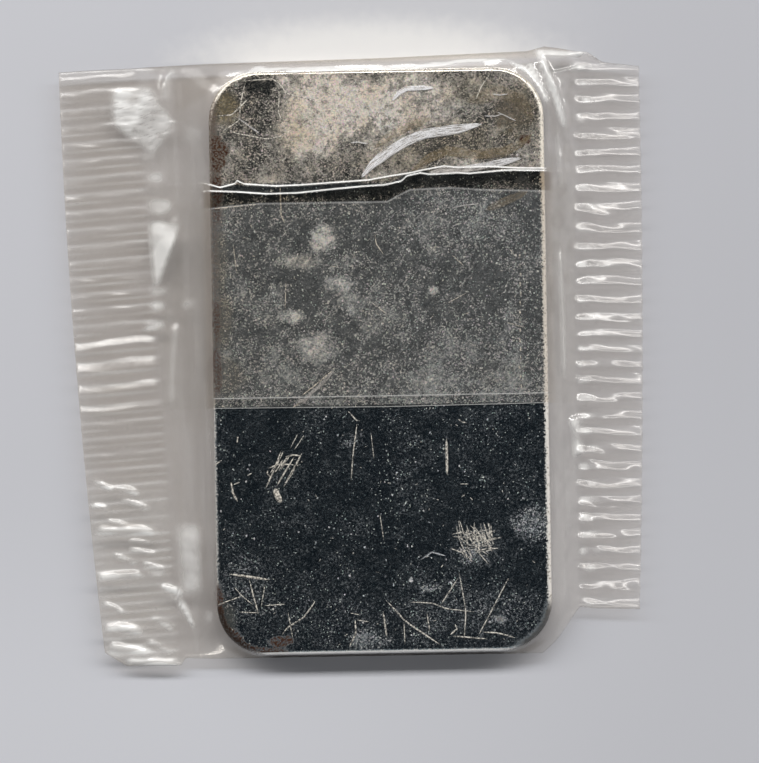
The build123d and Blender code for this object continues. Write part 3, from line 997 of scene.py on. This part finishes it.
# The rim's painted highlight, towards the near and the far end, and the dark specks in it
RIM_HIGHLIGHT_NEAR, RIM_HIGHLIGHT_FAR, RIM_DIRT = (0.98, 0.97, 0.94), (1.0, 0.96, 0.87), (0.4, 0.37, 0.32)
RUST_DARK, RUST_LIGHT, CORNER_DARK = (0.05, 0.016, 0.011), (0.09, 0.045, 0.024), (0.03, 0.02, 0.015)
SCRATCH_DARK, SCRATCH_BRIGHT = (0.10, 0.10, 0.10), (0.90, 0.87, 0.80)
STAIN_BROWN, SCUFF_PALE = (0.34, 0.27, 0.16), (0.97, 0.97, 0.99)
# Colours of the film: what it lets through on the left, on the right, under painted shade, where the fin
# ends and in the painted shadow below the near edge, and what its haze, its whitening with painted glints
# and its mirror share look like
TINT_LEFT, TINT_RIGHT, TINT_SHADED = (0.982, 0.964, 0.940), (0.992, 0.978, 0.962), (0.70, 0.655, 0.60)
TINT_FADED, TINT_SHADOW_UNDER_EDGE = (0.995, 0.993, 0.99), (0.25, 0.235, 0.225)
FILM_WHITE = (0.95, 0.945, 0.925)
# Painted light cast on the floor beyond the bar: middle in the photo's pixels, half sizes in millimetres
PAINTED_WIDE_LIGHT = ((390, 30), (21, 9))
PAINTED_CAST_LIGHT = ((365, 55), (20, 4.6))
# Colours of the floor, and of the painted light cast on it beyond the bar
FLOOR_LEFT, FLOOR_RIGHT, FLOOR_NEAR = (0.60, 0.607, 0.645), (0.535, 0.54, 0.575), (0.64, 0.65, 0.69)
FLOOR_NEAR_LEFT, FLOOR_PAINTED_WIDE_LIGHT, FLOOR_PAINTED_CAST_LIGHT = (0.67, 0.68, 0.722), (0.72, 0.72, 0.73), (0.88, 0.87, 0.855)


def distance_to_rim(x, y):
    """How far a point of the bar lies outside its outline, below 0 inside it, in millimetres."""
    over_x = minus(math_node("ABSOLUTE", x), BAR_HALF[0] - BAR_CORNER)
    over_y = minus(math_node("ABSOLUTE", y), BAR_HALF[1] - BAR_CORNER)
    corner = make_node(x.id_data, "CombineXYZ", {"X": most(over_x, 0.0), "Y": most(over_y, 0.0)})
    straight = least(most(over_x, over_y), 0.0)
    return minus(plus(vector_node("LENGTH", corner.outputs[0]), straight), BAR_CORNER)


def silver_finish():
    """Bright silver that mirrors a dark sky, under fine specks, clouds of haze and brown tarnish."""
    material, tree, output = nodes_of("dulled_silver")
    where = in_millimetres(tree)
    x, y, z = split(where)
    to_rim = distance_to_rim(x, y)
    on_face = step(z, BAR_FACE - 0.5, BAR_FACE - 0.25)

    grain = noise(where, 5.0, detail=3, rough=0.7)
    mottle = noise(where, 2.0, detail=3, rough=0.65)
    cloud = step(noise(where, 0.30, detail=4, rough=0.65, warp=0.6), 0.42, 0.68)
    streaks = tree.nodes.new("ShaderNodeMapping")
    streaks.vector_type = "TEXTURE"
    feed(streaks.inputs["Scale"], (3.2, 0.45, 1.0))
    feed(streaks.inputs["Rotation"], (0.0, 0.0, 0.95))
    feed(streaks.inputs["Vector"], where)
    streak = step(noise(streaks.outputs[0], 1.0, detail=4, rough=0.65), 0.45, 0.75)
    uneven = minus(noise(where, 0.9, detail=3, rough=0.7), 0.5)
    _, coarse = grain_cells(where, 8.0)
    fine_colour, fine = grain_cells(where, 12.0)

    # The haze is in zones: much beyond the fin's fold, some under the fin, little on the near half
    from_fold = minus(y, step(x, 1.0, 3.0, 0.0, 0.85))
    top_zone = step(from_fold, *BEYOND_FOLD)
    middle_zone = times(step(y, *UNDER_FIN), step(from_fold, *UNDER_FOLD))
    low_zone = step(y, *NEAR_END)
    lower_middle = times(middle_zone, step(y, *LOWER_FIN))
    base = add_all([(top_zone, 0.2), (middle_zone, 0.025), (lower_middle, 0.1), (low_zone, 0.01)])
    clouds = times(cloud, plus(add_all([(top_zone, 0.2), (middle_zone, 0.15)]), 0.03))
    streaked = times(streak, plus(add_all([(middle_zone, 0.12), (low_zone, 0.02)]), 0.012))
    haze = times(spot_sum(where, uneven, HAZE_SPOTS, 1.0), step(streak, 0.0, 1.0, 0.9, 1.6))
    kept = minus(1.0, least(spot_sum(where, uneven, CLEAN_SPOTS, 0.5), 0.95))
    cover = times(plus(plus(base, clouds), plus(haze, streaked)), kept)
    cover = times(cover, step(mottle, 0.3, 0.7, 0.6, 1.4))
    cover = times(cover, step(on_face, 0.0, 1.0, 0.25, 1.0))
    cover = least(plus(cover, 0.007), 0.88)

    # Thin haze is sparse specks, and thick haze is an uneven pale layer
    spread = add_all([(coarse[0], 0.3), (fine[0], 0.45), (step(grain, 0.3, 0.7), 0.25)])
    spread = step(spread, 0.1, 0.9)
    squared = times(spread, spread)
    sparse = times(squared, squared, 6.0)
    thick = step(cover, 0.08, 0.34)
    veil = times(cover, plus(sparse, times(thick, minus(plus(spread, 0.48), sparse))))
    few = plus(times(middle_zone, 0.022), step(cloud, 0.0, 1.0, 0.012, 0.034))
    few = times(few, on_face)
    lone = step(plus(fine[1], few), 0.995, 1.02)
    rare = step(plus(coarse[1], times(few, 0.2)), 0.999, 1.003)
    veil = least(most(veil, times(lone, 0.65), times(rare, 0.9)), 0.95)

    warm = step(noise(where, 0.5, detail=3), 0.35, 0.7)
    warm = times(warm, step(top_zone, 0.0, 1.0, 0.3, 1.0))
    dust = mix(warm, mix(top_zone, HAZE_COOL, HAZE_FAR), HAZE_WARM)
    dust = mix(times(step(mottle, 0.5, 0.35), thick, 0.5), dust, DULL_HAZE)
    dust = mix(times(step(coarse[2], 0.55, 1.0), 0.4), dust, DULL_GRAIN)
    dust = mix(step(fine[2], 0.0, 1.0, 0.1, 0.3), dust, fine_colour)
    silver = mix(spread, SILVER_DARK, SILVER_LIGHT)
    silver = mix(times(top_zone, 0.55), silver, SILVER_TARNISHED)
    silver = mix(on_face, SILVER_SIDES, silver)
    colour = mix(veil, silver, dust)
    yellow = least(spot_sum(where, uneven, YELLOW_SPOTS, 0.8), 0.8)
    yellow = times(yellow, step(grain, 0.3, 0.6, 0.5, 1.0))
    colour = mix(yellow, colour, YELLOWED)

    # Painted highlight along the rim, widest on the right and round the two far corners
    far_corner = times(step(y, 19.5, 21.0), step(x, -9.0, -10.5))
    highlit_side = times(most(step(x, 12.0, 13.0), far_corner), step(y, -22.5, -20.5))
    ragged = plus(to_rim, times(minus(grain, 0.5), 0.9))
    wide_rim_highlight = times(highlit_side, step(ragged, -0.42, -0.32))
    near_corners = times(step(math_node("ABSOLUTE", x), 10.5, 12.0), step(y, -20.0, -21.5))
    thin_rim_highlight = times(step(ragged, -0.22, -0.1), minus(1.0, near_corners))
    rim_highlight = times(most(wide_rim_highlight, times(thin_rim_highlight, 0.7)), on_face)
    highlight_colour = mix(step(y, 8.0, 18.0), RIM_HIGHLIGHT_NEAR, RIM_HIGHLIGHT_FAR)
    highlight_colour = mix(step(coarse[0], 0.0, 0.2), RIM_DIRT, highlight_colour)
    colour = mix(rim_highlight, colour, highlight_colour)

    # Rust in spots, at the near left corner and down the left side, and a darker rim round both near
    # corners
    rust_corner = times(step(y, -17.5, -20.0), step(x, -7.0, -9.5))
    near_rim = times(rust_corner, step(ragged, -0.9, -0.2), 0.9)
    left_rim = times(step(x, -12.9, -13.8), step(y, -4.5, -2.5), 0.55, on_face)
    rust = plus(spot_sum(where, uneven, RUST_SPOTS, 1.6, gain=1.3), plus(near_rim, left_rim))
    rusty = times(step(rust, 0.15, 0.7), step(grain, 0.3, 0.55))
    colour = mix(rusty, colour, mix(coarse[2], RUST_DARK, RUST_LIGHT))
    darkened_corners = times(near_corners, step(ragged, -0.75, -0.3), 0.85)
    colour = mix(darkened_corners, colour, CORNER_DARK)

    matt = most(veil, darkened_corners, times(rusty, 0.85), times(rim_highlight, 0.8), times(yellow, 0.35))
    rough = plus(step(grain, 0.3, 0.75, 0.09, 0.14), times(cover, 0.25))
    rough = plus(rough, step(to_rim, -0.4, -0.1, 0.0, 0.12), step(on_face, 0.0, 1.0, 0.12, 0.0))
    bump = make_node(tree, "Bump", {"Strength": 0.25, "Distance": 0.00002, "Height": grain})
    inputs = {"Base Color": colour, "Metallic": minus(1.0, matt), "Roughness": rough}
    inputs["Normal"] = bump.outputs[0]
    principled(output, inputs)
    return material


def scratched_silver():
    """Raw bright silver where the face is scratched, with uneven breaks along each scratch."""
    material, tree, output = nodes_of("scratched_silver")
    breaks = noise(in_millimetres(tree), 5.5, detail=3, rough=0.75)
    colour = mix(step(breaks, 0.40, 0.58), SCRATCH_DARK, SCRATCH_BRIGHT)
    rough = step(breaks, 0.3, 0.7, 0.35, 0.6)
    inputs = {"Base Color": colour, "Metallic": 0.15, "Roughness": rough}
    principled(output, inputs)
    return material


def principled(output, inputs):
    """The usual surface, with these inputs fed."""
    feed(output.inputs["Surface"], make_node(output.id_data, "BsdfPrincipled", inputs).outputs[0])


def over_clear(output, share, inputs, tint=(1, 1, 1)):
    """Shows a glossy surface over a share of the place, and what lies behind, tinted, over the rest."""
    tree = output.id_data
    shader = make_node(tree, "BsdfPrincipled", inputs)
    through = make_node(tree, "BsdfTransparent", {"Color": tint})
    mixed = tree.nodes.new("ShaderNodeMixShader")
    for socket, value in zip(mixed.inputs, (share, through.outputs[0], shader.outputs[0])):
        feed(socket, value)
    feed(output.inputs["Surface"], mixed.outputs[0])


def streaky_mark(name, pale, rough):
    """A thin see-through mark with fine lines along it, denser where its amount says so."""
    material, tree, output = nodes_of(name)
    lengthwise = {"X": times(mark(tree, "along"), 0.5), "Y": times(mark(tree, "across"), 6.5)}
    place = make_node(tree, "CombineXYZ", lengthwise).outputs[0]
    line = step(noise(place, 1.6, detail=3, rough=0.7), 0.36, 0.6, 0.12, 1.0)
    grain = step(noise(in_millimetres(tree), 8.0), 0.3, 0.65, 0.6, 1.0)
    amount = times(line, grain, mark(tree, "amount"))
    over_clear(output, amount, {"Base Color": pale, "Roughness": rough})
    return material


def clear_film(name, grainy, shown=None):
    """Thin glossy film: mostly see-through, a little warm, with a mirror share, its own whitened marks
    that also carry painted glints, and painted shade and, unless shown is given, a painted shadow below
    the near edge, which darken what it lets through. grainy is how unevenly it whitens where it does so
    faintly, and shown gives the x where the film fades, on the left and the right."""
    material, tree, output = nodes_of(name)
    where = in_millimetres(tree)
    x, y, _ = split(where)
    off_middle = math_node("ABSOLUTE", x)
    shaded = mark(tree, "shaded")
    facing = make_node(tree, "LayerWeight", {"Blend": 0.5}).outputs["Facing"]
    mirror = plus(times(math_node("POWER", facing, 4.0), 0.6), 0.053)
    mirror = times(mirror, step(shaded, 0.6, 1.0, 1.0, 0.2))
    smear = noise(where, 1.1, detail=3, rough=0.7)
    patchy = step(smear, 0.32, 0.7, 1 - 0.45 * grainy, 1 + 0.45 * grainy)
    whitened_and_glints = mark(tree, "whitened_and_glints")
    firm = step(whitened_and_glints, 0.15, 0.4)
    milky_and_glints = times(whitened_and_glints, plus(times(patchy, minus(1.0, firm)), firm))
    tint = mix(step(x, -13.5, 14.5), TINT_LEFT, TINT_RIGHT)
    tint = mix(times(shaded, 0.5), tint, TINT_SHADED)
    if shown:
        left, right = shown
        fade = times(step(x, left - 0.8, left), step(x, right + 0.8, right))
        mirror = times(mirror, 0.6, step(fade, 0.0, 1.0, 0.2, 1.0))
        tint = mix(fade, TINT_FADED, tint)
    else:
        # Painted shadow: a dark line in the film below the bar's near edge
        shadow_under_edge = times(step(y, -24.78, -24.86), step(off_middle, 10.8, 9.0), 0.6)
        tint = mix(shadow_under_edge, tint, TINT_SHADOW_UNDER_EDGE)
    # The haze holds the whitened marks together with their painted glints
    haze = least(plus(milky_and_glints, step(smear, 0.35, 0.75, 0.001, 0.006)), 0.85)
    both = plus(mirror, haze)
    rough = plus(step(smear, 0.3, 0.7, 0.09, 0.18), times(step(off_middle, 16.2, 17.2), 0.1))
    inputs = {"Base Color": FILM_WHITE, "Metallic": math_node("DIVIDE", mirror, both), "Roughness": rough}
    over_clear(output, least(both, 1.0), inputs, tint)
    return material


def pale_floor():
    """Plain pale floor, a little cool and lighter on the left, with painted light cast on it beyond the
    bar.
    """
    material, tree, output = nodes_of("pale_floor")
    where = in_millimetres(tree)
    x, y, _ = split(where)
    plain = mix(step(x, -34, 34), FLOOR_LEFT, FLOOR_RIGHT)
    plain = mix(step(y, 10, -36, 0.0, 0.5), plain, FLOOR_NEAR)
    plain = mix(times(step(y, -8, -32), step(x, 28, -20)), plain, FLOOR_NEAR_LEFT)
    uneven = minus(noise(where, 0.9), 0.5)
    # Painted light beyond the bar: a wide faint pool, and a brighter one that stops at the film's far edge
    wide_painted_pool = soft_spot(where, uneven, *PAINTED_WIDE_LIGHT, 0.2)
    painted_pool = times(soft_spot(where, uneven, *PAINTED_CAST_LIGHT, 0.2), step(y, 25.5, 25.9))
    plain = mix(times(wide_painted_pool, 0.3), plain, FLOOR_PAINTED_WIDE_LIGHT)
    plain = mix(times(painted_pool, 0.85), plain, FLOOR_PAINTED_CAST_LIGHT)
    inputs = {"Base Color": plain, "Roughness": 0.9, "Specular IOR Level": 0.1}
    principled(output, inputs)
    return material


# Half width of the floor, and how far it lies below the film
FLOOR_HALF = 600
FLOOR_DROP = 0.02


def make_floor():
    bm = bmesh.new()
    bmesh.ops.create_grid(bm, x_segments=8, y_segments=8, size=FLOOR_HALF)
    bmesh.ops.translate(bm, vec=(0, 0, FILM_BOTTOM - FLOOR_DROP), verts=bm.verts)
    floor = new_piece("floor", bm, pale_floor())


# One long lamp beyond the bar's far edge, as on a scanner, a sky that is dark overhead, and the camera
LAMP_PLACE_M = (0.0, 0.34, 0.40)
LAMP_SIZE_M = (2.4, 0.085)
LAMP_POWER = 7.75
SKY_STRENGTH = 0.52
SKY_LEFT, SKY_RIGHT = (0.22, 0.22, 0.225), (1.1, 1.08, 1.04)
SKY_NEAR, SKY_OVERHEAD = (0.75, 0.76, 0.78), (0.015, 0.022, 0.029)
CAMERA_LENS = 120
SENSOR = 36


def make_lamp():
    lamp = bpy.data.lights.new("long_lamp", "AREA")
    lamp.shape = "RECTANGLE"
    lamp.size, lamp.size_y = LAMP_SIZE_M
    lamp.energy = LAMP_POWER
    lamp.color = (1.0, 0.99, 0.98)
    holder = bpy.data.objects.new("long_lamp", lamp)
    holder.location = LAMP_PLACE_M
    holder.rotation_euler = (-Vector(LAMP_PLACE_M)).to_track_quat("-Z", "Y").to_euler()
    bpy.context.collection.objects.link(holder)


def make_world():
    """A sky that is dark overhead and low down gives the most light from the right."""
    world = bpy.data.worlds.new("soft_studio")
    world.use_nodes = True
    tree = world.node_tree
    tree.nodes.clear()
    output = tree.nodes.new("ShaderNodeOutputWorld")
    coordinates = tree.nodes.new("ShaderNodeTexCoord")
    x, y, z = split(coordinates.outputs["Generated"])
    low = mix(step(x, -0.1, 0.85), SKY_LEFT, SKY_RIGHT)
    low = mix(step(y, -0.25, -0.8), low, SKY_NEAR)
    sky = mix(step(z, 0.55, 0.88), low, SKY_OVERHEAD)
    background = make_node(tree, "Background", {"Color": sky, "Strength": SKY_STRENGTH})
    feed(output.inputs["Surface"], background.outputs[0])
    bpy.context.scene.world = world


def make_camera():
    """Looks straight down from where the whole photo fits the view at the bar's face."""
    camera = bpy.data.cameras.new("camera")
    camera.lens = CAMERA_LENS
    camera.sensor_width = SENSOR
    camera.clip_start = 0.01
    distance = PHOTO_SIZE_PX[1] * PHOTO_PIXEL * CAMERA_LENS / SENSOR
    x, y = spot(PHOTO_SIZE_PX[0] / 2, PHOTO_SIZE_PX[1] / 2)
    holder = bpy.data.objects.new("camera", camera)
    holder.location = (x * MM, y * MM, (BAR_FACE + distance) * MM)
    holder.rotation_euler = (0, 0, -BAR_TURN)
    bpy.context.collection.objects.link(holder)
    bpy.context.scene.camera = holder


BODY = next(iter(frame["bodies"]))
SOFT_SPOT = soft_spot_group()

bar = frame["nodes"]["silver_bar"]
bar.data.materials.clear()
bar.data.materials.append(silver_finish())

film = sealed_film(clear_film("clear_film", 0.14))
fin = folded_fin(clear_film("sealed_fin", 0.35, (-14.3, 14.3)))
stain, scuff = streaky_mark("brown_stain", STAIN_BROWN, 0.5), streaky_mark("pale_scuff", SCUFF_PALE, 0.45)
scratches = [(path, width * SCRATCH_SCALE, 1.0) for path, width in SCRATCHES + scratch_sets()]
slivers("face_stains", STAINS, 0.005, face_level, stain)
slivers("face_scratches", scratches, 0.01, face_level, scratched_silver(), steps=3, sides=6)
slivers("film_scuffs", FILM_SCUFFS, 0.012, film_top, scuff)

make_floor()
make_lamp()
make_world()
make_camera()
bpy.context.scene.view_settings.view_transform = "Standard"
